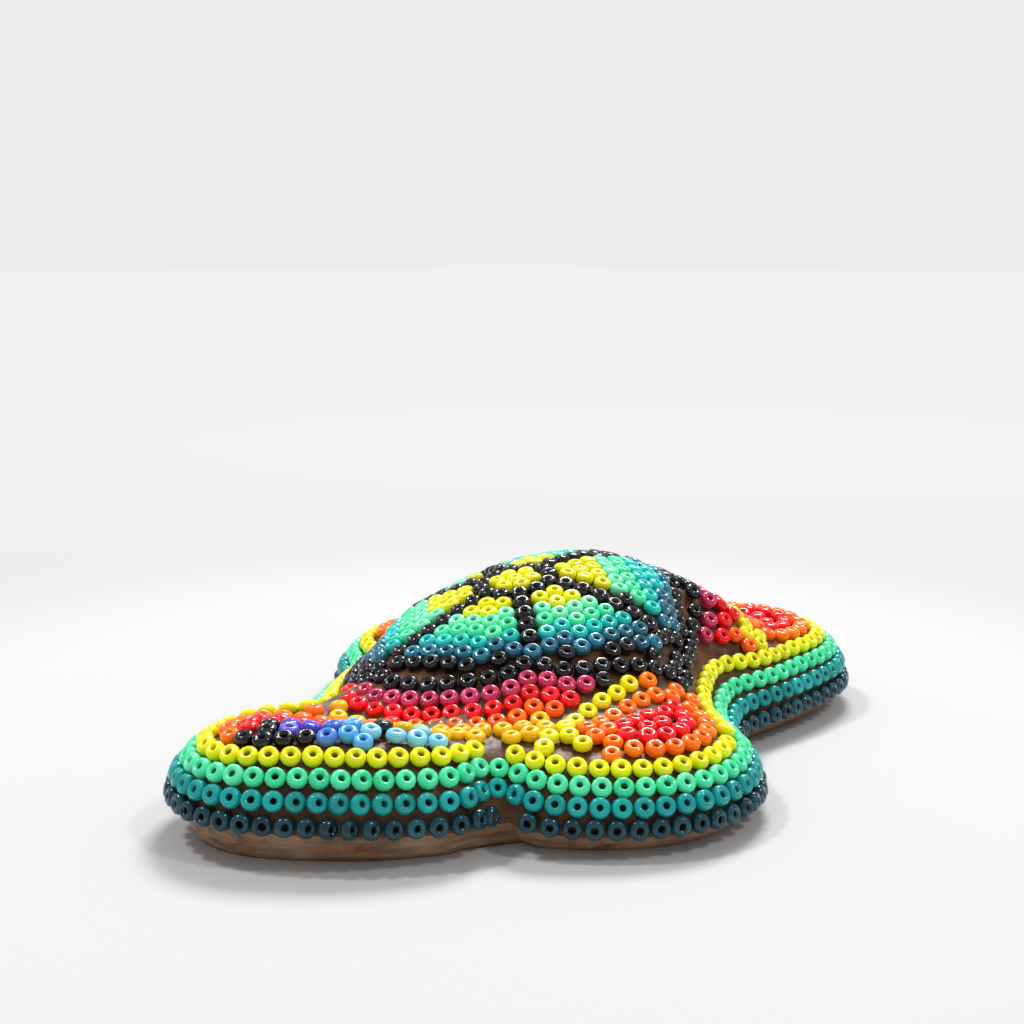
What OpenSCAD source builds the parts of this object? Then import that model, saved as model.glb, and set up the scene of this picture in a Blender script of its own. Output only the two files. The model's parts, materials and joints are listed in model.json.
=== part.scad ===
// Beaded turtle: a carved wooden turtle, coated with beeswax and covered
// with rows of glass seed beads pressed into the wax, holes facing out.
// Millimetres, +Z up, head towards -Y, the turtle's left side towards +X.

/* [Beads] */
// Outside diameter of a glass seed bead
bead_d = 2.12; // [1.8:0.01:2.6]
// Diameter of the hole at its waist
bead_hole = 0.72; // [0.4:0.01:1]
// Height of a bead along its hole
bead_h = 1.38; // [1:0.01:1.8]
// Clearance between neighbouring beads in a row
bead_clear = 0.08; // [0.04:0.01:0.4]
// Depth that a bead is pressed into the wax
bead_press = 0.18; // [0.1:0.01:0.3]

/* [Carving] */
// Length scale of the whole carving in plan
plan_scale = 1; // [0.8:0.01:1.3]
// Distance from the shell's centre to the middle of the head
head_reach = 36; // [30:0.1:44]
// Half width of the head
head_r = 11.2; // [9:0.1:15]
// Half width of the cheek that joins the head to the left shoulder
cheek_r = 11.5; // [9:0.1:14]
// Distance from the shell's centre to the middle of a front flipper
front_reach = 24.5; // [21:0.1:32]
// Half width of a front flipper
front_r = 13.5; // [10:0.1:16]
// Distance from the shell's centre to the middle of the left rear flipper
rear_reach = 36.9; // [30:0.1:44]
// Half width of the left rear flipper
rear_r = 13; // [10:0.1:16]
// Radius of the body's round middle
body_r = 24; // [20:0.1:30]
// How softly the flippers and the body run into each other
blend = 2.6; // [1:0.1:5]

/* [Heights] */
// Height of the lowest row of beads above the floor on a flipper
low_row = 2.2; // [1.8:0.05:4]
// Rise from the lowest row of beads to a flipper's crown
crown = 7.5; // [5:0.1:11]
// Width of the rounded edge, from the outline to the crown
edge_w = 11; // [8:0.1:14]
// Height of the shell's dome above the crown
dome_h = 11.1; // [7:0.1:16]
// Radius of the dome's foot
dome_r = 28; // [24:0.1:36]
// How far the head is thicker than a flipper
head_lift = 1.1; // [0:0.1:3]
// Thickness of the beeswax
wax_t = 0.9; // [0.5:0.05:1.5]

/* [Shell pattern] */
// Half length of the shell pattern, measured over the dome
shell_a = 24.6; // [20:0.1:32]
// Half width of the shell pattern, measured over the dome
shell_b = 18.6; // [15:0.1:25]
// Direction of the shell pattern's long axis
shell_turn = 54; // [0:1:90]

/* [Hidden] */

bead_pitch = bead_d + bead_clear;
function total(v) = [for (x = v) 1] * v;
function unit(v) = v / norm(v);
function polar(r, a) = [r * cos(a), r * sin(a)];
function clamp(x, lo, hi) = min(hi, max(lo, x));

// Round masses of the carving: middle in plan, radius, extra height, extra thickness
head_c = plan_scale * polar(head_reach, 272);
cheek_c = plan_scale * polar(head_reach - 5.4, 285);
left_front_c = plan_scale * polar(front_reach, 346);
left_elbow_c = plan_scale * polar(front_reach - 2.3, 330);
left_rear_c = plan_scale * polar(rear_reach, 78);
left_hip_c = plan_scale * polar(rear_reach - 10.4, 72);
right_rear_c = plan_scale * polar(rear_reach - 5.9, 125);
right_front_c = plan_scale * polar(front_reach - 1.5, 167);
masses = [
  [head_c, plan_scale * head_r, head_lift, 0.12],
  [cheek_c, plan_scale * cheek_r, head_lift * 0.4, 0.04],
  [plan_scale * [15.4, -26.6], plan_scale * 5.2, head_lift * 0.4, 0],
  [left_front_c, plan_scale * front_r, 0, 0],
  [left_elbow_c, plan_scale * (front_r - 1), 0, 0],
  [left_rear_c, plan_scale * rear_r, 0.2, 0.15],
  [left_hip_c, plan_scale * rear_r, 0, 0],
  [right_rear_c, plan_scale * (rear_r - 1.5), 0.3, 0.08],
  [right_front_c, plan_scale * (front_r - 2.5), 0, 0],
  [plan_scale * polar(8, 312), plan_scale * body_r, 0, 0],
  [plan_scale * polar(4.8, 102), plan_scale * body_r, 0, 0]
];

// A sharp dent between the cheek and the left front flipper
dent = plan_scale * [21.4, -24.2];
// Plan distance outside the outline, negative inside
function outside(p) = -blend * ln(total([for (m = masses) exp(-(norm(p - m[0]) - m[1]) / blend)]))
  + 2.1 * exp(-pow(norm(p - dent) / (3.1 * plan_scale), 2));
function inside(p) = max(0.02, -outside(p));
function out_dir(p) = unit([outside(p + [0.1, 0]) - outside(p - [0.1, 0]), outside(p + [0, 0.1]) - outside(p - [0, 0.1])]);
function lobe_share(p, m) = 1 / (1 + pow(norm(p - m[0]) / (1.55 * m[1]), 4));
// The snout side of the head is thinner: place, radius, extra height, extra thickness
snout = [plan_scale * [-3.8, -40.6], plan_scale * 6, 0.9, -0.18];
shares = concat(masses, [snout]);
function lift(p) = total([for (m = shares) m[2] * lobe_share(p, m)]);
function thick(p) = 1 + total([for (m = shares) m[3] * lobe_share(p, m)]);

// Rounded edge: height over the lowest row of beads by distance inside the outline
function edge_rise(e) = e >= edge_w ? crown : crown * sqrt(1 - pow(1 - e / edge_w, 2));
function edge_slope(e) = e >= edge_w ? 0 : crown * (1 - e / edge_w) / (edge_w * sqrt(1 - pow(1 - e / edge_w, 2)));

// Dome of the shell
dome_c = plan_scale * polar(7.6, 85);
function dome(p) = let (d = p - dome_c, a = atan2(d[1], d[0]), r = norm(d) / (plan_scale * (dome_r + 2.5 * cos(2 * (a - 95)))))
  r >= 1 ? 0 : dome_h * pow(1 - r * r, 1.3) * pow(clamp(inside(p) / 9, 0, 1), 1.5);
// Shallow hollows: middle, direction, half length, half width, depth
hollows = [
  [plan_scale * [6.1, -26.4], 45, 13, 6, 2.9],
  [plan_scale * [4.7, 28.7], 45, 8, 7, 1.2],
  [plan_scale * [10, 37.2], 45, 7, 6, 0.9]
];
function hollow(p, h) = let (d = (p - h[0]) / plan_scale, u = d * polar(1, h[1]) / h[2], v = d * polar(1, h[1] + 90) / h[3]) h[4] * exp(-u * u - v * v);
function hollowed(p) = clamp((inside(p) - 2.5) / 4, 0, 1) * total([for (h = hollows) hollow(p, h)]);

// Surface through the middles of the beads
function bead_z(p) = lift(p) + thick(p) * (low_row + edge_rise(inside(p))) + dome(p) - hollowed(p);
function upper(p) = lift(p) + thick(p) * low_row + dome(p) - hollowed(p);
function bead_n(p) =
  let (e = inside(p), g = out_dir(p), m = thick(p) * edge_slope(e), h = 0.2,
    gx = (upper(p + [h, 0]) - upper(p - [h, 0])) / (2 * h), gy = (upper(p + [0, h]) - upper(p - [0, h])) / (2 * h))
  unit([m * g[0] - gx, m * g[1] - gy, 1]);

// Distance along a ray from the centre where a rising function passes zero
function crossing(g, lo, hi, n) = n == 0 ? (lo + hi) / 2 : let (mid = (lo + hi) / 2) g(mid) > 0 ? crossing(g, lo, mid, n - 1) : crossing(g, mid, hi, n - 1);
function loop_at(c, g, steps = 144, far = 62) = [for (i = [0:steps - 1]) let (a = i * 360 / steps) c + polar(crossing(function(r) g(c + polar(r, a)), 0, far * plan_scale, 14), a)];

// Points evenly spaced along a closed loop; close_by(p) below 1 packs them closer
function lengths(pts, close_by) = let (n = len(pts)) [for (i = 0, s = 0; i <= n; s = s + norm(pts[(i + 1) % n] - pts[i % n]) / close_by(pts[i % n]), i = i + 1) s];
function spaced(pts, pitch, close_by, phase = 0) =
  let (n = len(pts), s = lengths(pts, close_by), count = floor(s[n] / pitch),
    tx = [for (i = [0:n]) [s[i], pts[i % n][0]]], ty = [for (i = [0:n]) [s[i], pts[i % n][1]]])
  [for (k = [0:count - 1]) let (t = (k + phase) * s[n] / count) [lookup(t, tx), lookup(t, ty)]];

// Beads leaning together on the side of the head that faces the left flipper
function lean(p) = exp(-pow((atan2(p[1], p[0]) + 69) / 9, 2)) * (norm(p) > 24 * plan_scale ? 1 : 0);
function packed(p) = 1 - 0.06 * pow(lean(p), 3);

// Edge rows, from the lowest up
row_e = bead_d * [0.02, 0.34, 0.93, 1.72];
// A loop moved exactly on to the line at a distance e inside the outline
function on_line(pts, e) = [for (p = pts) let (q = p - out_dir(p) * (outside(p) + e)) q - out_dir(q) * (outside(q) + e)];
function edge_line(e) = on_line(spaced(loop_at([0, 0], function(p) outside(p) + e), 0.8 * plan_scale, function(p) 1), e);
function edge_row(k) = spaced(edge_line(row_e[k]), bead_pitch, function(p) packed(p), k / 2);
function leftwards(ps) = [for (p = ps) if (p[0] * sin(84) - p[1] * cos(84) >= 0) p];
function rightwards(ps) = [for (p = ps) if (p[0] * sin(84) - p[1] * cos(84) < 0) p];

// Flipper tops: rings inside the edge's yellow row and inside a line across the root
row_gap = bead_d * 0.99;
// Each top: middle of the rings, direction it faces, distance of the root line from the ring middle
tops = [
  [plan_scale * polar(head_reach - 0.5, 276), 287, 8.3],
  [plan_scale * polar(front_reach + 2.5, 349.5), 0, 6],
  [plan_scale * polar(rear_reach + 1.6, 75), 55, 6.3],
  [plan_scale * polar(rear_reach - 4.4, 126), 128, 6],
  [plan_scale * polar(front_reach + 0.5, 167), 168, 5.5]
];
function top_field(p, i, k) =
  let (t = tops[i], root = -(p - t[0]) * polar(1, t[1]) - plan_scale * t[2], rim = outside(p) + row_e[3], far = norm(p - t[0]) - plan_scale * 11.5)
  1.4 * ln(exp(root / 1.4) + exp(rim / 1.4) + exp(far / 1.4)) + k * row_gap;
function ring(i, k) = spaced(loop_at(tops[i][0], function(p) top_field(p, i, k), 72, 30), bead_pitch, function(p) 1, k / 2);
// A ring's beads that keep clear of the edge's yellow row
function root_line(i) = [for (p = ring(i, 0)) if (-outside(p) > row_e[3] + row_gap * 0.97) p];
function top_depth(i) = -top_field(tops[i][0], i, 0);
function ring_fill(i, k) = top_depth(i) - k * row_gap < 1 ? [] : ring(i, k);
function crown_bead(i) = top_depth(i) % row_gap < 1 ? [tops[i][0]] : [];
function red_top(i) = concat([for (k = [2:5]) each ring_fill(i, k)], crown_bead(i));

// Surface lengths along rays from the shell's centre, to lay the pattern over the dome
rays = 36;
ray_step = 1;
function ray_table(a) = [for (i = 0, r = 0, s = 0; i <= 42;
  s = s + norm([ray_step, bead_z(polar(r + ray_step, a)) - bead_z(polar(r, a))]), r = r + ray_step, i = i + 1) [s, r]];
ray_tables = [for (j = [0:rays - 1]) ray_table(j * 360 / rays)];
function laid(q) = let (a = (atan2(q[1], q[0]) + 360) % 360, f = a * rays / 360, j = floor(f) % rays, w = f - floor(f), s = norm(q))
  s == 0 ? [0, 0] : polar((1 - w) * lookup(s, ray_tables[j]) + w * lookup(s, ray_tables[(j + 1) % rays]), a);

// Shell pattern on the flat: six spokes, a border and the rows between
spokes = [262, 322, 383, 453, 510, 555];
function turn_gap(a, b) = abs(((a - b + 540) % 360) - 180);
function pinch(a) = 0.07 * exp(-pow(turn_gap(a, 268) / 22, 2)) + 0.035 * exp(-pow(turn_gap(a, 358) / 14, 2));
function notch(a) = max([for (s = spokes) exp(-pow(turn_gap(a, s) / 5, 2))]);
function border_r(a) = pow(pow(abs(cos(a - shell_turn)) / shell_a, 2.8) + pow(abs(sin(a - shell_turn)) / shell_b, 2.8), -1 / 2.8) * (1 - 0.09 * notch(a) - pinch(a));
// The border keeps clear of the edge rows where the body is narrow
function widest(a) = crossing(function(r) outside(polar(r, a)) + row_e[3] + row_gap, 0, 62 * plan_scale, 12);
function border_loop(extra) = [for (i = [0:143]) let (a = i * 2.5, p = laid(polar(border_r(a) + extra, a))) p * min(1, widest(a) / norm(p))];
centre_r = 4.25;
spoke_beads = [for (s = spokes) for (r = [centre_r + bead_pitch:bead_pitch:border_r(s) - bead_d * 0.98]) laid(polar(r, s))];
centre_outline = [for (i = [0:11]) laid(polar(centre_r, 322 + i * 30))];
centre_yellow = concat([laid([0, 0])], [for (i = [0:5]) laid(polar(centre_r / 2 + 0.03, 337 + i * 60))]);
border_beads = spaced(border_loop(0), bead_pitch, function(p) 1);
grid_x = bead_d * 1.04;
grid_y = bead_d * 0.9;
function from_spoke(q, s) = abs(q[1] * cos(s) - q[0] * sin(s));
// [place, fraction of the way to the border] of each bead between two spokes
function sector(j) =
  let (a = spokes[j], b = j == 5 ? spokes[0] + 360 : spokes[j + 1], mid = (a + b) / 2)
  [for (row = [2:15]) for (m = [-9:9])
    let (u = centre_r + (row - 2) * grid_y + 0.05, v = (m + 0.5 * (row % 2)) * grid_x,
      q = [u * cos(mid) - v * sin(mid), u * sin(mid) + v * cos(mid)], ang = atan2(v, u), edge = border_r(mid + ang))
    if (row > 2 && abs(ang) < (b - a) / 2 && norm(q) < edge - bead_d * 0.97 && norm(q) > centre_r + bead_d * 0.9
      && from_spoke(q, a) > bead_d * 0.9 && from_spoke(q, b) > bead_d * 0.9) [laid(q), norm(q) / edge]];
shell_fill = [for (j = [0:5]) each sector(j)];
function shell_band(lo, hi) = [for (b = shell_fill) if (b[1] >= lo && b[1] < hi) b[0]];

// Skirt rows outside the shell's border, clear of the flippers' root lines and the edge
function clear_of_tops(p, gap) = min([for (i = [0:4]) top_field(p, i, 0)]) > gap;
function skirt_row(k) = [for (p = spaced(border_loop(k * bead_pitch * 0.98), bead_pitch, function(p) 1, k / 2))
  if (clear_of_tops(p, row_gap * 0.97) && -outside(p) > row_e[3] + row_gap * 0.97) p];

// Blue eye patch on the side of the head towards the left flipper: place along it and across it
patch_start = plan_scale * [-1.6, -40.5];
function along_patch(p) = (p - patch_start) * polar(1, 45) / plan_scale;
function across_patch(p) = (p - patch_start) * polar(1, 135) / plan_scale;
function in_patch(p, k) = let (u = along_patch(p), v = across_patch(p))
  u > 0.6 && u < 21.8 && (k > 0 || u > 14) && v < (u < 6.5 ? -3.8 + u * 0.6 : u < 12 ? 1.9 : 1.9 - (u - 12) * 0.45);
// 0 orange, 1 red, 2 black, 3 violet, 4 royal blue, 5 sky blue, 6 pale blue, 7 gold
function patch_tone(u, k) = u > 19.6 ? 3 : u > 15 ? (k < 2 && u > 15.4 && u < 17.2 ? 2 : 6) : u > 12 ? 5 :
  k < 2 ? (u < 7.4 || (u > 8.4 && u < 10) ? 2 : u < 8.5 ? 3 : 4) : u < 6 ? 2 : u < 9.6 ? 3 : 4;
function head_tone(p, k) = in_patch(p, k) ? patch_tone(along_patch(p), k) : k == 0 ? 7 : k == 1 ? 0 : 1;
head_beads = concat([for (p = root_line(0)) [p, head_tone(p, 0)]],
  [for (k = [1:5]) for (p = ring_fill(0, k)) [p, head_tone(p, k)]], [for (p = crown_bead(0)) [p, head_tone(p, 3)]]);
function head_set(tone) = [for (b = head_beads) if (b[1] == tone) b[0]];

// Every group of beads is set down in turn: a bead is left out where one already sits too close
function spot(p) = [p[0], p[1], bead_z(p)];
function free(q, others, gap) = len([for (o = others) if (norm(o - q) < gap) 1]) == 0;
function fresh(spots, others, gap) = [for (i = 0, kept = []; i <= len(spots);
  kept = i < len(spots) && free(spots[i], others, gap) && free(spots[i], kept, gap) ? concat(kept, [spots[i]]) : kept, i = i + 1) if (i == len(spots)) kept][0];
rim_gap = bead_d * 0.962;
function rim_rows(k, kept) = k > 3 ? kept :
  rim_rows(k + 1, concat(kept, [fresh([for (p = edge_row(k)) spot(p)], [for (row = kept) each row], rim_gap)]));
rim = rim_rows(0, []);
inner_groups = [border_beads, centre_outline, spoke_beads, centre_yellow,
  [for (i = [1:4]) each root_line(i)], head_set(7), head_set(0), head_set(1), head_set(2), head_set(3), head_set(4), head_set(5), head_set(6),
  ring_fill(1, 1), red_top(1), ring_fill(2, 1), red_top(2), ring_fill(3, 1), red_top(3), ring_fill(4, 1), red_top(4),
  skirt_row(1), skirt_row(2), skirt_row(3), skirt_row(4),
  shell_band(0, 0.43), shell_band(0.43, 0.53), shell_band(0.53, 0.62), shell_band(0.62, 0.72), shell_band(0.72, 0.83),
  shell_band(0.83, 1)];
group_count = len(inner_groups);
first_gap = bead_d * 0.83;
function spots_of(g) = g < group_count ? [for (p = inner_groups[g]) spot(p)] : [];
rim_all = [for (row = rim) each row];
laid_down = [for (g = 0, taken = rim_all, now = fresh(spots_of(0), rim_all, first_gap); g < group_count;
  taken = concat(taken, now), g = g + 1, now = fresh(spots_of(g), taken, first_gap)) now];
// Gaps left between the rows get single beads in the colour of their nearest neighbour
first_spots = concat(rim_all, [for (row = laid_down) each row]);
gap_grid = [for (x = [-34:1.2:40]) for (y = [-46:1.2:50]) let (p = [x, y] * plan_scale) if (-outside(p) > row_e[3] + row_gap * 0.7) spot(p)];
gap_beads = fresh(gap_grid, first_spots, bead_d * 0.8);
owners = [for (g = [0:group_count - 1]) for (q = laid_down[g]) g];
owner_spots = [for (row = laid_down) each row];
function owner(q) = let (d = [for (o = owner_spots) norm(o - q)]) owners[search(min(d), d)[0]];
gap_owners = [for (q = gap_beads) owner(q)];
// Then all beads but the edge rows jostle until they sit evenly
loose_groups = concat([for (q = rim_all) -1], owners, gap_owners);
loose = concat(first_spots, gap_beads);
rim_count = len(rim_all);
neighbours = [for (i = [0:len(loose) - 1]) i < rim_count ? [] : [for (j = [0:len(loose) - 1]) if (j != i && norm(loose[j] - loose[i]) < bead_d * 1.75) j]];
easy_gap = bead_d * 1.02;
function push(q, o) = let (d = norm(q - o)) d < easy_gap && d > 0 ? (q - o) / d * (easy_gap - d) * 0.42 : [0, 0, 0];
function jostled(s) = [for (i = [0:len(s) - 1]) i < rim_count ? s[i] :
  let (m = total(concat([[0, 0, 0]], [for (j = neighbours[i]) push(s[i], s[j])])), p = [s[i][0] + m[0], s[i][1] + m[1]]) spot(p)];
function shaken(s, n) = n == 0 ? s : shaken(jostled(s), n - 1);
even = shaken(loose, 14);
bead_gap = bead_d * 0.962;
in_place = [for (i = rim_count, kept = [rim_all, []]; i <= len(even);
  kept = i < len(even) && free(even[i], kept[0], bead_gap) ? [concat(kept[0], [even[i]]), concat(kept[1], [i])] : kept, i = i + 1) if (i == len(even)) kept[1]][0];
// Room still left takes a last few beads
placed = concat(rim_all, [for (i = in_place) even[i]]);
late_beads = fresh(gap_grid, placed, bead_gap);
late_owners = [for (q = late_beads) owner(q)];
function group(g) = concat([for (i = in_place) if (loose_groups[i] == g) even[i]],
  [for (i = [0:1:len(late_beads) - 1]) if (late_owners[i] == g) late_beads[i]]);
function groups(list) = [for (g = list) each group(g)];

// One bead: a rounded ring with a waisted hole
bead_wall = (bead_d - bead_hole) / 4;
bead_mid = bead_hole / 2 + bead_wall;
module bead(size) {
  scale(size)
    rotate_extrude($fn = 40)
      polygon([for (i = [0:7]) [bead_mid + bead_wall * [1, 0.82, 0, -0.8, -1, -0.8, 0, 0.82][i], bead_h / 2 * [0, 0.66, 1, 0.7, 0, -0.7, -1, -0.66][i]]]);
}
// Beads at their places in plan, holes facing out of the surface, each a little uneven
module beads(places, seed) {
  sizes = rands(0.93, 0.956, len(places), seed);
  leans = rands(-5, 5, len(places), seed + 100);
  rolls = rands(-5, 5, len(places), seed + 200);
  for (i = [0:1:len(places) - 1]) {
    p = places[i];
    n = bead_n(p);
    flat = norm([n[0], n[1]]);
    translate(p)
      rotate([0, acos(n[2]) + leans[i], atan2(n[1], n[0]) + rolls[i] * flat + 48 * lean(p) * pow(flat, 2)])
        rotate([rolls[i] * (1 - flat), 0, 0])
          bead(sizes[i]);
  }
}

// Skin of the carving: rings of points from the edge to the middle, set in from the bead surface
turns = 108;
skin_e = [0.04, 0.6, 1.7, 3.3, 5.4];
skin_in = [0.82, 0.63, 0.42, 0.21];
function rays_at(e) = [for (p = loop_at([0, 0], function(p) outside(p) + e, turns)) p];
skin_plan = concat([for (e = skin_e) rays_at(e)], [for (f = skin_in) [for (p = rays_at(skin_e[4])) p * f]]);
function set_in(p, d) = let (n = bead_n(p)) [p[0], p[1], bead_z(p)] - n * d;
function skin(d) = [for (row = skin_plan) [for (p = row) set_in(p, d)]];
skin_rows = len(skin_e) + len(skin_in);
wax_in = bead_h / 2 - bead_press;
wood_in = wax_in + wax_t;
function foot_row(d, f, extra) = [for (p = skin_plan[0]) let (g = out_dir(p), z = bead_z(p) - bead_d * 0.48) [p[0] - g[0] * (d + extra), p[1] - g[1] * (d + extra), z * f]];
function middle(d) = [set_in([0, 0.01], d)];
// Faces between two neighbouring rings whose points start at a and b
function band(a, b) = [for (i = [0:turns - 1]) let (j = (i + 1) % turns) each [[a + i, b + i, b + j], [a + i, b + j, a + j]]];
function flip(faces) = [for (f = faces) [for (i = [len(f) - 1:-1:0]) f[i]]];
function cap(a, tip) = [for (i = [0:turns - 1]) [a + i, tip, a + (i + 1) % turns]];
function upper_faces(start, rows, tip) = concat([for (r = [0:rows - 2]) each band(start + r * turns, start + (r + 1) * turns)], cap(start + (rows - 1) * turns, tip));

module wood_core() {
  side = concat(foot_row(wood_in, 0, 1.15), foot_row(wood_in, 0.22, 0.5), foot_row(wood_in, 0.6, 0.12), foot_row(wood_in, 1, 0));
  top = [for (row = skin(wood_in)) each row];
  points = concat(side, top, middle(wood_in), [[0, 0, 0]]);
  rows = 4 + skin_rows;
  color("sienna")
    polyhedron(points, concat(flip(upper_faces(0, rows, rows * turns)), cap(0, rows * turns + 1)));
}

module beeswax_coat() {
  outer = concat(foot_row(wax_in, 1, 0.1), [for (row = skin(wax_in)) each row], middle(wax_in));
  inner = concat(foot_row(wood_in, 1, 0), [for (row = skin(wood_in)) each row], middle(wood_in));
  rows = 1 + skin_rows;
  shift = rows * turns + 1;
  color("peru")
    polyhedron(concat(outer, inner), concat(flip(upper_faces(0, rows, rows * turns)), upper_faces(shift, rows, shift + rows * turns), band(0, shift)));
}

module shell_outline_beads() {
  color("black")
    beads(groups([0, 1, 30]), 1);
}

module shell_spoke_beads() {
  color("black")
    beads(group(2), 2);
}

module shell_centre_yellow_beads() {
  color("yellow")
    beads(group(3), 3);
}

module shell_yellow_beads() {
  color("yellow")
    beads(group(25), 4);
}

module shell_pale_mint_beads() {
  color("palegreen")
    beads(group(26), 5);
}

module shell_mint_beads() {
  color("aquamarine")
    beads(group(27), 6);
}

module shell_teal_beads() {
  color("turquoise")
    beads(group(28), 7);
}

module shell_petrol_beads() {
  color("steelblue")
    beads(group(29), 8);
}

module skirt_magenta_beads() {
  color("crimson")
    beads(group(21), 9);
}

module skirt_red_beads() {
  color("red")
    beads(group(22), 10);
}

module skirt_orange_beads() {
  color("orangered")
    beads(group(23), 11);
}

module skirt_gold_beads() {
  color("gold")
    beads(groups([5, 24]), 12);
}

module rim_petrol_left_beads() {
  color("darkslategray")
    beads(leftwards(rim[0]), 13);
}

module rim_petrol_right_beads() {
  color("darkslategray")
    beads(rightwards(rim[0]), 14);
}

module rim_teal_left_beads() {
  color("darkcyan")
    beads(leftwards(rim[1]), 15);
}

module rim_teal_right_beads() {
  color("darkcyan")
    beads(rightwards(rim[1]), 16);
}

module rim_mint_left_beads() {
  color("aquamarine")
    beads(leftwards(rim[2]), 17);
}

module rim_mint_right_beads() {
  color("aquamarine")
    beads(rightwards(rim[2]), 18);
}

module rim_yellow_left_beads() {
  color("yellow")
    beads(leftwards(rim[3]), 19);
}

module rim_yellow_right_beads() {
  color("yellow")
    beads(rightwards(rim[3]), 20);
}

module head_orange_beads() {
  color("darkorange")
    beads(group(6), 21);
}

module head_red_beads() {
  color("red")
    beads(group(7), 22);
}

module head_black_beads() {
  color("black")
    beads(group(8), 23);
}

module head_violet_beads() {
  color("slateblue")
    beads(group(9), 24);
}

module head_blue_beads() {
  color("royalblue")
    beads(group(10), 25);
}

module head_sky_beads() {
  color("deepskyblue")
    beads(group(11), 26);
}

module head_pale_blue_beads() {
  color("lightskyblue")
    beads(group(12), 27);
}

module flipper_line_yellow_beads() {
  color("yellow")
    beads(group(4), 28);
}

module left_front_orange_beads() {
  color("darkorange")
    beads(group(13), 29);
}

module left_front_red_beads() {
  color("red")
    beads(group(14), 30);
}

module left_rear_orange_beads() {
  color("darkorange")
    beads(group(15), 31);
}

module left_rear_red_beads() {
  color("red")
    beads(group(16), 32);
}

module right_rear_orange_beads() {
  color("darkorange")
    beads(group(17), 33);
}

module right_rear_red_beads() {
  color("red")
    beads(group(18), 34);
}

module right_front_orange_beads() {
  color("darkorange")
    beads(group(19), 35);
}

module right_front_red_beads() {
  color("red")
    beads(group(20), 36);
}

wood_core();
beeswax_coat();
shell_outline_beads();
shell_spoke_beads();
shell_centre_yellow_beads();
shell_yellow_beads();
shell_pale_mint_beads();
shell_mint_beads();
shell_teal_beads();
shell_petrol_beads();
skirt_magenta_beads();
skirt_red_beads();
skirt_orange_beads();
skirt_gold_beads();
rim_petrol_left_beads();
rim_petrol_right_beads();
rim_teal_left_beads();
rim_teal_right_beads();
rim_mint_left_beads();
rim_mint_right_beads();
rim_yellow_left_beads();
rim_yellow_right_beads();
head_orange_beads();
head_red_beads();
head_black_beads();
head_violet_beads();
head_blue_beads();
head_sky_beads();
head_pale_blue_beads();
flipper_line_yellow_beads();
left_front_orange_beads();
left_front_red_beads();
left_rear_orange_beads();
left_rear_red_beads();
right_rear_orange_beads();
right_rear_red_beads();
right_front_orange_beads();
right_front_red_beads();
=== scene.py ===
import math
import random
import bmesh
import bpy
import numpy as np
from mathutils import Matrix, Vector
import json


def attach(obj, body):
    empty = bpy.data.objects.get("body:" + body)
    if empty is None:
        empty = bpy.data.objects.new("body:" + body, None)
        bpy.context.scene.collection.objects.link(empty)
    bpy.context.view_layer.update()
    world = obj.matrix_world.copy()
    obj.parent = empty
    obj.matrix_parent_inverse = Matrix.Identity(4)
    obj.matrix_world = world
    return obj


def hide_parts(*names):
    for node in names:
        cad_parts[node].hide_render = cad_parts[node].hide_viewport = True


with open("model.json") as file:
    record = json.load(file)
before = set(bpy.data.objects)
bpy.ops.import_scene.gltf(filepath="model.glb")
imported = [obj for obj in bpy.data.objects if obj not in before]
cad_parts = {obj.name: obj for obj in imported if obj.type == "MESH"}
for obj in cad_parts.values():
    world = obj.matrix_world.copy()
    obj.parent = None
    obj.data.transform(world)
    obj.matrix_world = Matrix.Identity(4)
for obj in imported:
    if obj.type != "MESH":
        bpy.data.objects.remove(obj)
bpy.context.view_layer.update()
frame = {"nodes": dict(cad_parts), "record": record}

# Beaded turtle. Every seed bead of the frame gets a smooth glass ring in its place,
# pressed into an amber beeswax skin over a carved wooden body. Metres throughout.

MM = 0.001
WELD = 2e-6

# Beads: the rounded outline that turns round the hole (radius and height in mm, and how deep
# in the hole the point lies), and how much single beads differ from it
BEAD_OUTLINE = ((1.06, 0.0, 0.0), (0.965, 0.44, 0.0), (0.66, 0.69, 0.0), (0.37, 0.55, 0.35),
                (0.27, 0.0, 1.0), (0.37, -0.55, 0.35), (0.66, -0.69, 0.0), (0.965, -0.44, 0.0))
BEAD_SIDES = 12
BEAD_RADIUS = BEAD_OUTLINE[0][0]
BEAD_WIDTHS = (1.05, 1.085)
BEAD_HEIGHTS = (0.86, 1.06)
BORE_CHANGES = (-0.03, 0.05)
OVALS = (0.975, 1.0)
SLANTS = (-0.05, 0.05)
TONE_SPREAD = 2.2
BEAD_SEED = 11

# Studio: paper and background brightness, and how far out one runs into the other
BACKGROUND = 0.84
PAPER = 0.54
FAR_PAPER = PAPER * 0.86
PAPER_FADES = (0.07, 0.14)
FLOOR_FADES = (0.14, 0.5)
FLOOR_HALF = 3.0
SURROUND = 0.6

# Camera: it looks from the head's left over the left front flipper, along AHEAD
EYE = (0.1256, -0.1261, 0.060)
LENS = 53.44
SENSOR = 36.0
PITCH = math.radians(10.0)
DIAGONAL = math.sqrt(0.5)
RIGHT = Vector((DIAGONAL, DIAGONAL, 0))
AHEAD = Vector((-DIAGONAL, DIAGONAL, 0))

# Lamps: metres to the right, ahead and up, width and height, watts
LAMPS = {
    "back_box": ((0.24, 1.0, 1.24), (0.56, 0.40), 26.0),
    "left_box": ((-0.71, 0.24, 1.30), (0.18, 0.18), 8.1),
    "right_box": ((0.81, -0.28, 1.19), (0.16, 0.16), 4.4),
}


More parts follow.
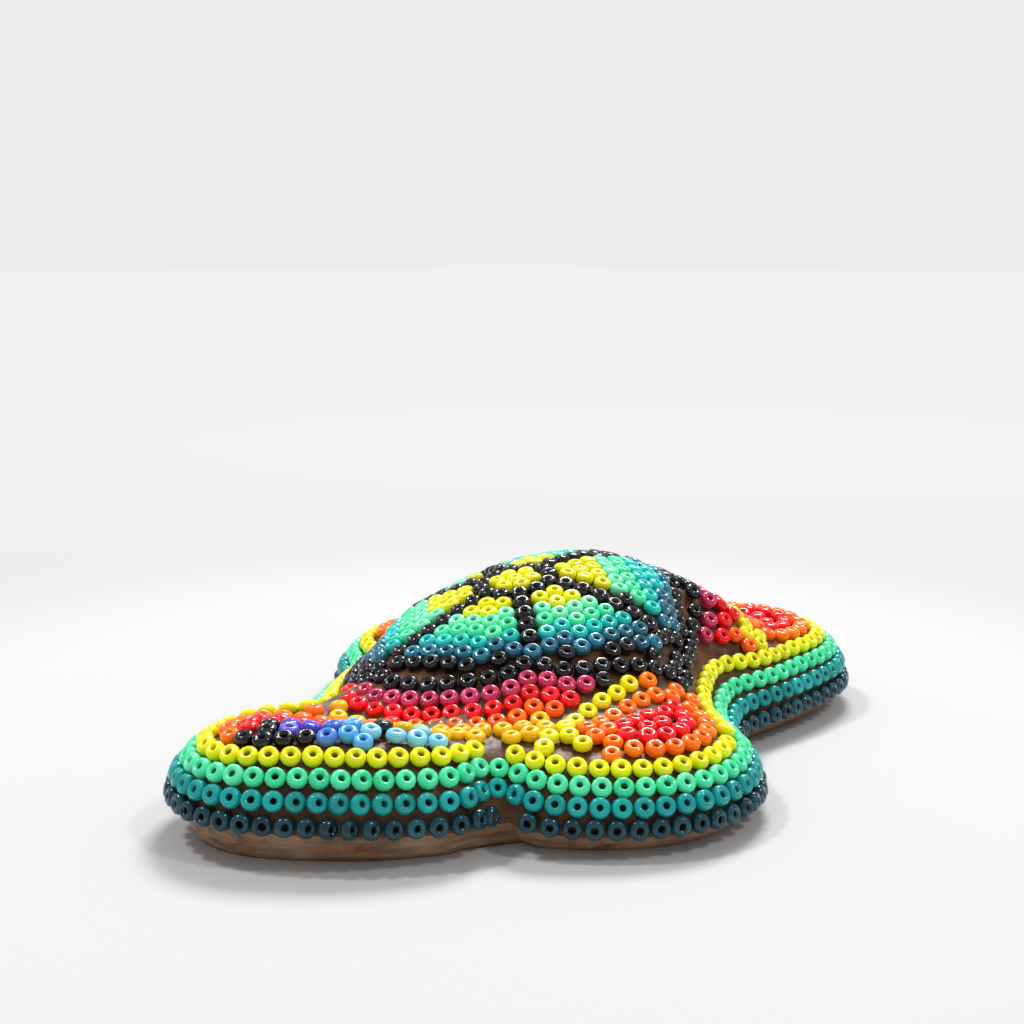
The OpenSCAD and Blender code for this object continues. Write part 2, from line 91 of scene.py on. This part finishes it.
# ---------- shader helpers ----------
class Shade:
    """A socket in a material, with the arithmetic it needs."""

    def __init__(self, nodes, socket):
        self.nodes = nodes
        self.socket = socket

    def _math(self, kind, first, second):
        return self.nodes.node("ShaderNodeMath", {0: first, 1: second}, operation=kind)

    def __add__(self, other): return self._math("ADD", self, other)
    def __radd__(self, other): return self._math("ADD", other, self)
    def __sub__(self, other): return self._math("SUBTRACT", self, other)
    def __rsub__(self, other): return self._math("SUBTRACT", other, self)
    def __mul__(self, other): return self._math("MULTIPLY", self, other)
    def __rmul__(self, other): return self._math("MULTIPLY", other, self)

    def ramp(self, low, high, to_low=0.0, to_high=1.0):
        """An eased change from to_low to to_high as the value goes from low to high."""
        values = {"Value": self, "From Min": low, "From Max": high, "To Min": to_low, "To Max": to_high}
        return self.nodes.node("ShaderNodeMapRange", values, interpolation_type="SMOOTHSTEP")


class Material:
    """A new principled material and the nodes in it."""

    def __init__(self, name, **constants):
        self.material = bpy.data.materials.new(name)
        self.material.use_nodes = True
        self.tree = self.material.node_tree
        self.surface = next(n for n in self.tree.nodes if n.type == "BSDF_PRINCIPLED")
        for socket, value in constants.items():
            self.set(socket.replace("_", " "), value)
        self.place = self.node("ShaderNodeTexCoord", {}, output="Object")

    def node(self, kind, inputs, output=0, **settings):
        """Any node: its settings first, then its sockets' values or links."""
        made = self.tree.nodes.new(kind)
        for key, value in settings.items():
            setattr(made, key, value)
        for key, value in inputs.items():
            self.feed(made.inputs[key], value)
        return Shade(self, made.outputs[output])

    def feed(self, target, value):
        if isinstance(value, Shade):
            self.tree.links.new(value.socket, target)
        else:
            target.default_value = value

    def set(self, socket, value):
        self.feed(self.surface.inputs[socket], value)

    def mix(self, share, a, b):
        return self.node("ShaderNodeMix", {0: share, 6: a, 7: b}, output=2, data_type="RGBA")

    def noise(self, per_metre, detail=3.0, rough=0.5, stretch=None, distort=0.0):
        place = self.place
        if stretch:
            place = self.node("ShaderNodeMapping", {"Vector": place, "Scale": stretch})
        values = {"Vector": place, "Scale": per_metre, "Detail": detail, "Roughness": rough, "Distortion": distort}
        return self.node("ShaderNodeTexNoise", values)

    def attribute(self, name):
        return self.node("ShaderNodeAttribute", {}, output="Fac", attribute_name=name)

    def bump(self, height, distance, strength):
        return self.node("ShaderNodeBump", {"Height": height, "Distance": distance, "Strength": strength})


def colour(r, g, b):
    return (r, g, b, 1.0)


def grey(value):
    return colour(value, value, value)


# ---------- glass ----------
# Painted shade: the dark colour that the inside of each bead hole is painted towards
PAINTED_HOLE_SHADE = colour(0.03, 0.017, 0.008)


def glass(name, dark, mid, light, gloss=0.16, lustre=0.0, painted_sheen=None):
    """Opaque bead glass: each bead its own tone, painted shade inside its hole, faint ripples."""
    m = Material(name, IOR=1.5, Coat_Roughness=0.04, Coat_IOR=1.5, Specular_IOR_Level=0.12,
                 Emission_Strength=0.06, Metallic=lustre)
    tone = m.attribute("tone")
    depth = m.attribute("hole")
    own = m.mix(tone.ramp(0.0, 0.5), colour(*dark), colour(*mid))
    own = m.mix(tone.ramp(0.5, 1.0), own, colour(*light))
    own = m.mix(m.noise(900.0, 2.0).ramp(0.35, 0.75) * 0.25, own, colour(*light))
    # Painted sheen: where the surface turns away from view, the colour runs towards a paler sheen tone
    if painted_sheen:
        edge = m.node("ShaderNodeLayerWeight", {"Blend": 0.35}, output="Facing")
        own = m.mix(edge.ramp(0.15, 0.9) * 0.7, own, colour(*painted_sheen))
    # Painted shade: the bore darkens towards its waist, mixing the glass's dark tone with the hole shade
    shaded_bore = m.mix(0.6, colour(*dark), PAINTED_HOLE_SHADE)
    shown = m.mix(depth.ramp(0.3, 0.9), own, shaded_bore)
    m.set("Base Color", shown)
    # Painted light: the glass glows faintly in its own colour, at the Emission Strength set above
    m.set("Emission Color", shown)
    m.set("Roughness", m.noise(2500.0, 2.0).ramp(0.3, 0.8, gloss * 0.8, gloss * 1.5) + depth * 0.25)
    m.set("Coat Weight", 0.75 - depth.ramp(0.4, 1.0) * 0.6)
    m.set("Normal", m.bump(m.noise(1400.0, 2.0), 0.00003, 0.5))
    return m.material


# Dark, middle and light tone of each glass, then its gloss, lustre and painted sheen where it has its own
GLASS_TONES = {
    "black_glass": ((0.0015, 0.0015, 0.002), (0.004, 0.004, 0.006), (0.012, 0.012, 0.018), 0.12),
    "lemon_yellow_glass": ((0.72, 0.66, 0.0), (0.86, 0.80, 0.0), (0.92, 0.90, 0.004)),
    "golden_yellow_glass": ((0.86, 0.40, 0.0), (0.94, 0.52, 0.0), (0.96, 0.62, 0.002)),
    "pale_mint_glass": ((0.12, 0.76, 0.40), (0.18, 0.86, 0.48), (0.28, 0.92, 0.57)),
    "mint_glass": ((0.03, 0.66, 0.29), (0.06, 0.80, 0.38), (0.13, 0.88, 0.47)),
    "turquoise_glass": ((0.0, 0.42, 0.38), (0.004, 0.53, 0.47), (0.012, 0.64, 0.56)),
    "teal_glass": ((0.0, 0.23, 0.24), (0.0, 0.33, 0.33), (0.003, 0.44, 0.42)),
    "petrol_blue_lustre_glass": ((0.01, 0.09, 0.15), (0.02, 0.16, 0.24), (0.03, 0.22, 0.32),
                                 0.18, 0.3, (0.10, 0.22, 0.32)),
    "dark_petrol_lustre_glass": ((0.001, 0.022, 0.035), (0.003, 0.045, 0.066), (0.008, 0.085, 0.11),
                                 0.15, 0.35, (0.01, 0.09, 0.11)),
    "magenta_lustre_glass": ((0.42, 0.012, 0.06), (0.58, 0.02, 0.10), (0.66, 0.05, 0.16),
                             0.2, 0.35, (0.75, 0.20, 0.28)),
    "red_glass": ((0.76, 0.0, 0.004), (0.92, 0.002, 0.008), (0.96, 0.012, 0.02)),
    "deep_orange_glass": ((0.95, 0.07, 0.0), (1.0, 0.12, 0.0), (1.0, 0.18, 0.0)),
    "orange_glass": ((0.96, 0.12, 0.0), (1.0, 0.17, 0.0), (1.0, 0.23, 0.0)),
    "violet_glass": ((0.04, 0.03, 0.45), (0.08, 0.06, 0.62), (0.15, 0.12, 0.72)),
    "royal_blue_glass": ((0.03, 0.10, 0.55), (0.05, 0.16, 0.66), (0.08, 0.24, 0.75)),
    "sky_blue_glass": ((0.05, 0.32, 0.75), (0.08, 0.42, 0.85), (0.14, 0.52, 0.90)),
    "pale_blue_glass": ((0.14, 0.50, 0.82), (0.20, 0.62, 0.90), (0.30, 0.70, 0.93)),
}
GLASS = {slot: glass(slot.replace("_", " "), *tones) for slot, tones in GLASS_TONES.items()}


# ---------- objects ----------
def add_object(name, mesh):
    piece = bpy.data.objects.new(name, mesh)
    bpy.context.collection.objects.link(piece)
    return piece


slot_of = {part["node"]: part["material_slot"] for part in frame["record"]["subparts"]}


def stand_for(piece, node):
    """The piece takes the place of a frame node and rides on the body."""
    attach(piece, "root")
    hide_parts(node)


# ---------- beads ----------
def bead_shape():
    """One bead in millimetres, spun round Z: its points, their depth in the hole and its faces."""
    work = bmesh.new()
    ring = [work.verts.new((radius, 0, height)) for radius, height, _ in BEAD_OUTLINE]
    edges = [work.edges.new((ring[i - 1], ring[i])) for i in range(len(ring))]
    bmesh.ops.spin(work, geom=ring + edges, cent=(0, 0, 0), axis=(0, 0, 1), angle=math.tau,
                   steps=BEAD_SIDES, use_merge=True)
    bmesh.ops.recalc_face_normals(work, faces=work.faces)
    work.verts.index_update()
    points = np.array([v.co[:] for v in work.verts])
    faces = [tuple(v.index for v in face.verts) for face in work.faces]
    work.free()
    depths = sorted({(radius, deep) for radius, _, deep in BEAD_OUTLINE})
    return points, np.interp(np.hypot(points[:, 0], points[:, 1]), *zip(*depths)), faces


POINTS, DEPTHS, FACES = bead_shape()
RADII = np.hypot(POINTS[:, 0], POINTS[:, 1])


def bead_places(obj):
    """Centre, axis and size of every bead in a frame node."""
    work = bmesh.new()
    work.from_mesh(obj.data)
    bmesh.ops.remove_doubles(work, verts=work.verts, dist=WELD)
    work.verts.ensure_lookup_table()
    seen, places = set(), []
    for start in work.verts:
        if start.index in seen:
            continue
        stack, group = [start], []
        seen.add(start.index)
        while stack:
            vertex = stack.pop()
            group.append(vertex.co[:])
            for edge in vertex.link_edges:
                other = edge.other_vert(vertex)
                if other.index not in seen:
                    seen.add(other.index)
                    stack.append(other)
        points = np.array(group)
        centre = points.mean(0)
        _, vectors = np.linalg.eigh(np.cov((points - centre).T))
        axis = vectors[:, 0]
        if axis[2] < 0:
            axis = -axis
        size = np.sqrt(((points - centre) ** 2).sum(1)).max() / (BEAD_RADIUS * MM)
        places.append((centre, axis, size))
    work.free()
    places.sort(key=lambda place: tuple(np.round(place[0], 6)))
    return places


def bead_mesh(name, obj, rng):
    """All beads of one frame node as smooth rings, each a little different."""
    beads, faces, tones, depths = [], [], [], []
    for centre, axis, size in bead_places(obj):
        turn = rng.uniform(0, math.tau)
        wide = min(size, 1.0) * rng.uniform(*BEAD_WIDTHS)
        tall = size * rng.uniform(*BEAD_HEIGHTS)
        bore = rng.uniform(*BORE_CHANGES)
        oval = rng.uniform(*OVALS)
        bead = POINTS.copy()
        bead[:, :2] *= (1 + bore * DEPTHS / RADII)[:, None]
        bead *= np.array([wide, wide * oval, tall])
        bead[:, 2] += bead[:, 0] * rng.uniform(*SLANTS)
        lean = Vector((0, 0, 1)).rotation_difference(Vector(axis)).to_matrix()
        turned = np.array(lean @ Matrix.Rotation(turn, 3, "Z"))
        first = len(beads) * len(POINTS)
        beads.append(bead @ turned.T * MM + centre)
        faces.extend(tuple(first + i for i in face) for face in FACES)
        tones.extend([rng.betavariate(TONE_SPREAD, TONE_SPREAD)] * len(POINTS))
        depths.extend(DEPTHS)
    mesh = bpy.data.meshes.new(name)
    mesh.from_pydata(np.concatenate(beads).tolist(), [], faces)
    for key, values in (("tone", tones), ("hole", depths)):
        layer = mesh.attributes.new(key, "FLOAT", "POINT")
        layer.data.foreach_set("value", np.array(values, dtype=np.float32))
    mesh.shade_smooth()
    return mesh


rng = random.Random(BEAD_SEED)
for node in sorted(frame["nodes"]):
    if node.endswith("_beads"):
        name = node.replace("_beads", "_glass_beads")
        mesh = bead_mesh(name, frame["nodes"][node], rng)
        mesh.materials.append(GLASS[slot_of[node]])
        stand_for(add_object(name, mesh), node)


# ---------- beeswax and wood ----------
def wax_material():
    """Dark amber beeswax with lumps, and pinkish smears of glass dust; its darkness is partly painted shade for
    the gaps between beads.
    """
    m = Material("amber beeswax", Coat_Roughness=0.25, Coat_Weight=0.06, Specular_IOR_Level=0.25)
    lumps = m.noise(260.0, 4.0, 0.55)
    fine = m.noise(1500.0, 3.0)
    smears = m.noise(420.0, 2.0).ramp(0.62, 0.7)
    # Both wax tones are kept dark: partly the wax's own amber, partly painted shade where the wax shows between
    # the beads
    base = m.mix(lumps.ramp(0.3, 0.7), colour(0.05, 0.018, 0.006), colour(0.15, 0.06, 0.016))
    m.set("Base Color", m.mix(smears * 0.3, base, colour(0.28, 0.15, 0.10)))
    m.set("Roughness", fine.ramp(0.3, 0.7, 0.42, 0.62))
    m.set("Normal", m.bump(lumps + fine * 0.3, 0.0004, 0.6))
    return m.material


def wood_material():
    """Carved wood with its grain along the turtle, rubbed with wax in places."""
    m = Material("carved wood")
    grain = m.noise(330.0, 5.0, 0.6, stretch=(1.0, 0.16, 3.2), distort=0.6)
    streaks = m.noise(1500.0, 3.0, 0.6, stretch=(1.0, 0.06, 2.5))
    waxed = m.noise(120.0, 3.0)
    base = m.mix(grain.ramp(0.3, 0.7), colour(0.17, 0.075, 0.036), colour(0.42, 0.24, 0.13))
    base = m.mix(streaks.ramp(0.5, 0.8) * 0.45, base, colour(0.07, 0.032, 0.018))
    m.set("Base Color", m.mix(waxed.ramp(0.45, 0.7) * 0.5, base, colour(0.52, 0.34, 0.21)))
    m.set("Roughness", waxed.ramp(0.4, 0.7, 0.5, 0.26))
    m.set("Normal", m.bump(grain + streaks * 0.5, 0.0003, 0.5))
    return m.material


def smooth_copy(node, name, material):
    """A welded copy of a frame node, smooth but for its sharp rim."""
    work = bmesh.new()
    work.from_mesh(frame["nodes"][node].data)
    bmesh.ops.remove_doubles(work, verts=work.verts, dist=WELD)
    mesh = bpy.data.meshes.new(name)
    work.to_mesh(mesh)
    work.free()
    mesh.materials.clear()
    mesh.materials.append(material)
    mesh.shade_smooth()
    mesh.set_sharp_from_angle(angle=math.radians(40))
    stand_for(add_object(name, mesh), node)


smooth_copy("beeswax_coat", "beeswax_skin", wax_material())
smooth_copy("wood_core", "carved_wooden_body", wood_material())


# ---------- floor, camera, light ----------
def studio_floor():
    """Pale paper that runs into the even background far from the turtle."""
    m = Material("studio paper", Roughness=0.9, Specular_IOR_Level=0.1, Emission_Strength=1.0)
    reach = m.node("ShaderNodeVectorMath", {0: m.place}, output="Value", operation="LENGTH")
    away = reach.ramp(*FLOOR_FADES)
    paper = m.mix(reach.ramp(*PAPER_FADES), grey(PAPER), grey(FAR_PAPER))
    m.set("Base Color", m.mix(away, paper, grey(0)))
    m.set("Emission Color", m.mix(away, grey(0), grey(BACKGROUND)))
    work = bmesh.new()
    bmesh.ops.create_grid(work, x_segments=2, y_segments=2, size=FLOOR_HALF)
    mesh = bpy.data.meshes.new("studio_floor")
    work.to_mesh(mesh)
    work.free()
    mesh.materials.append(m.material)
    add_object("studio_floor", mesh)


def pointed(place, direction):
    """A lamp's or camera's matrix at a place, looking along a direction."""
    return Matrix.Translation(place) @ direction.to_track_quat("-Z", "Y").to_matrix().to_4x4()


def soft_box(name, spot, size, power):
    light = bpy.data.lights.new(name, "AREA")
    light.shape = "RECTANGLE"
    light.size, light.size_y = size
    light.energy = power
    lamp = add_object(name, light)
    side, deep, high = spot
    place = RIGHT * side + AHEAD * deep + Vector((0, 0, high))
    lamp.matrix_world = pointed(place, -place)


studio_floor()

camera = bpy.data.cameras.new("camera")
camera.sensor_width = SENSOR
camera.lens = LENS
camera.clip_start = 0.01
eye = add_object("camera", camera)
eye.matrix_world = pointed(EYE, AHEAD * math.cos(PITCH) - Vector((0, 0, math.sin(PITCH))))
bpy.context.scene.camera = eye

for name, (spot, size, power) in LAMPS.items():
    soft_box(name, spot, size, power)

# The background is seen at its full brightness and lights the turtle with a share of it
world = bpy.data.worlds.new("studio")
bpy.context.scene.world = world
world.use_nodes = True
back = next(n for n in world.node_tree.nodes if n.type == "BACKGROUND")
back.inputs["Color"].default_value = grey(BACKGROUND)
path = world.node_tree.nodes.new("ShaderNodeLightPath")
share = world.node_tree.nodes.new("ShaderNodeMapRange")
share.inputs["To Min"].default_value = SURROUND
share.inputs["To Max"].default_value = 1.0
world.node_tree.links.new(path.outputs["Is Camera Ray"], share.inputs["Value"])
world.node_tree.links.new(share.outputs["Result"], back.inputs["Strength"])
bpy.context.scene.view_settings.view_transform = "Standard"
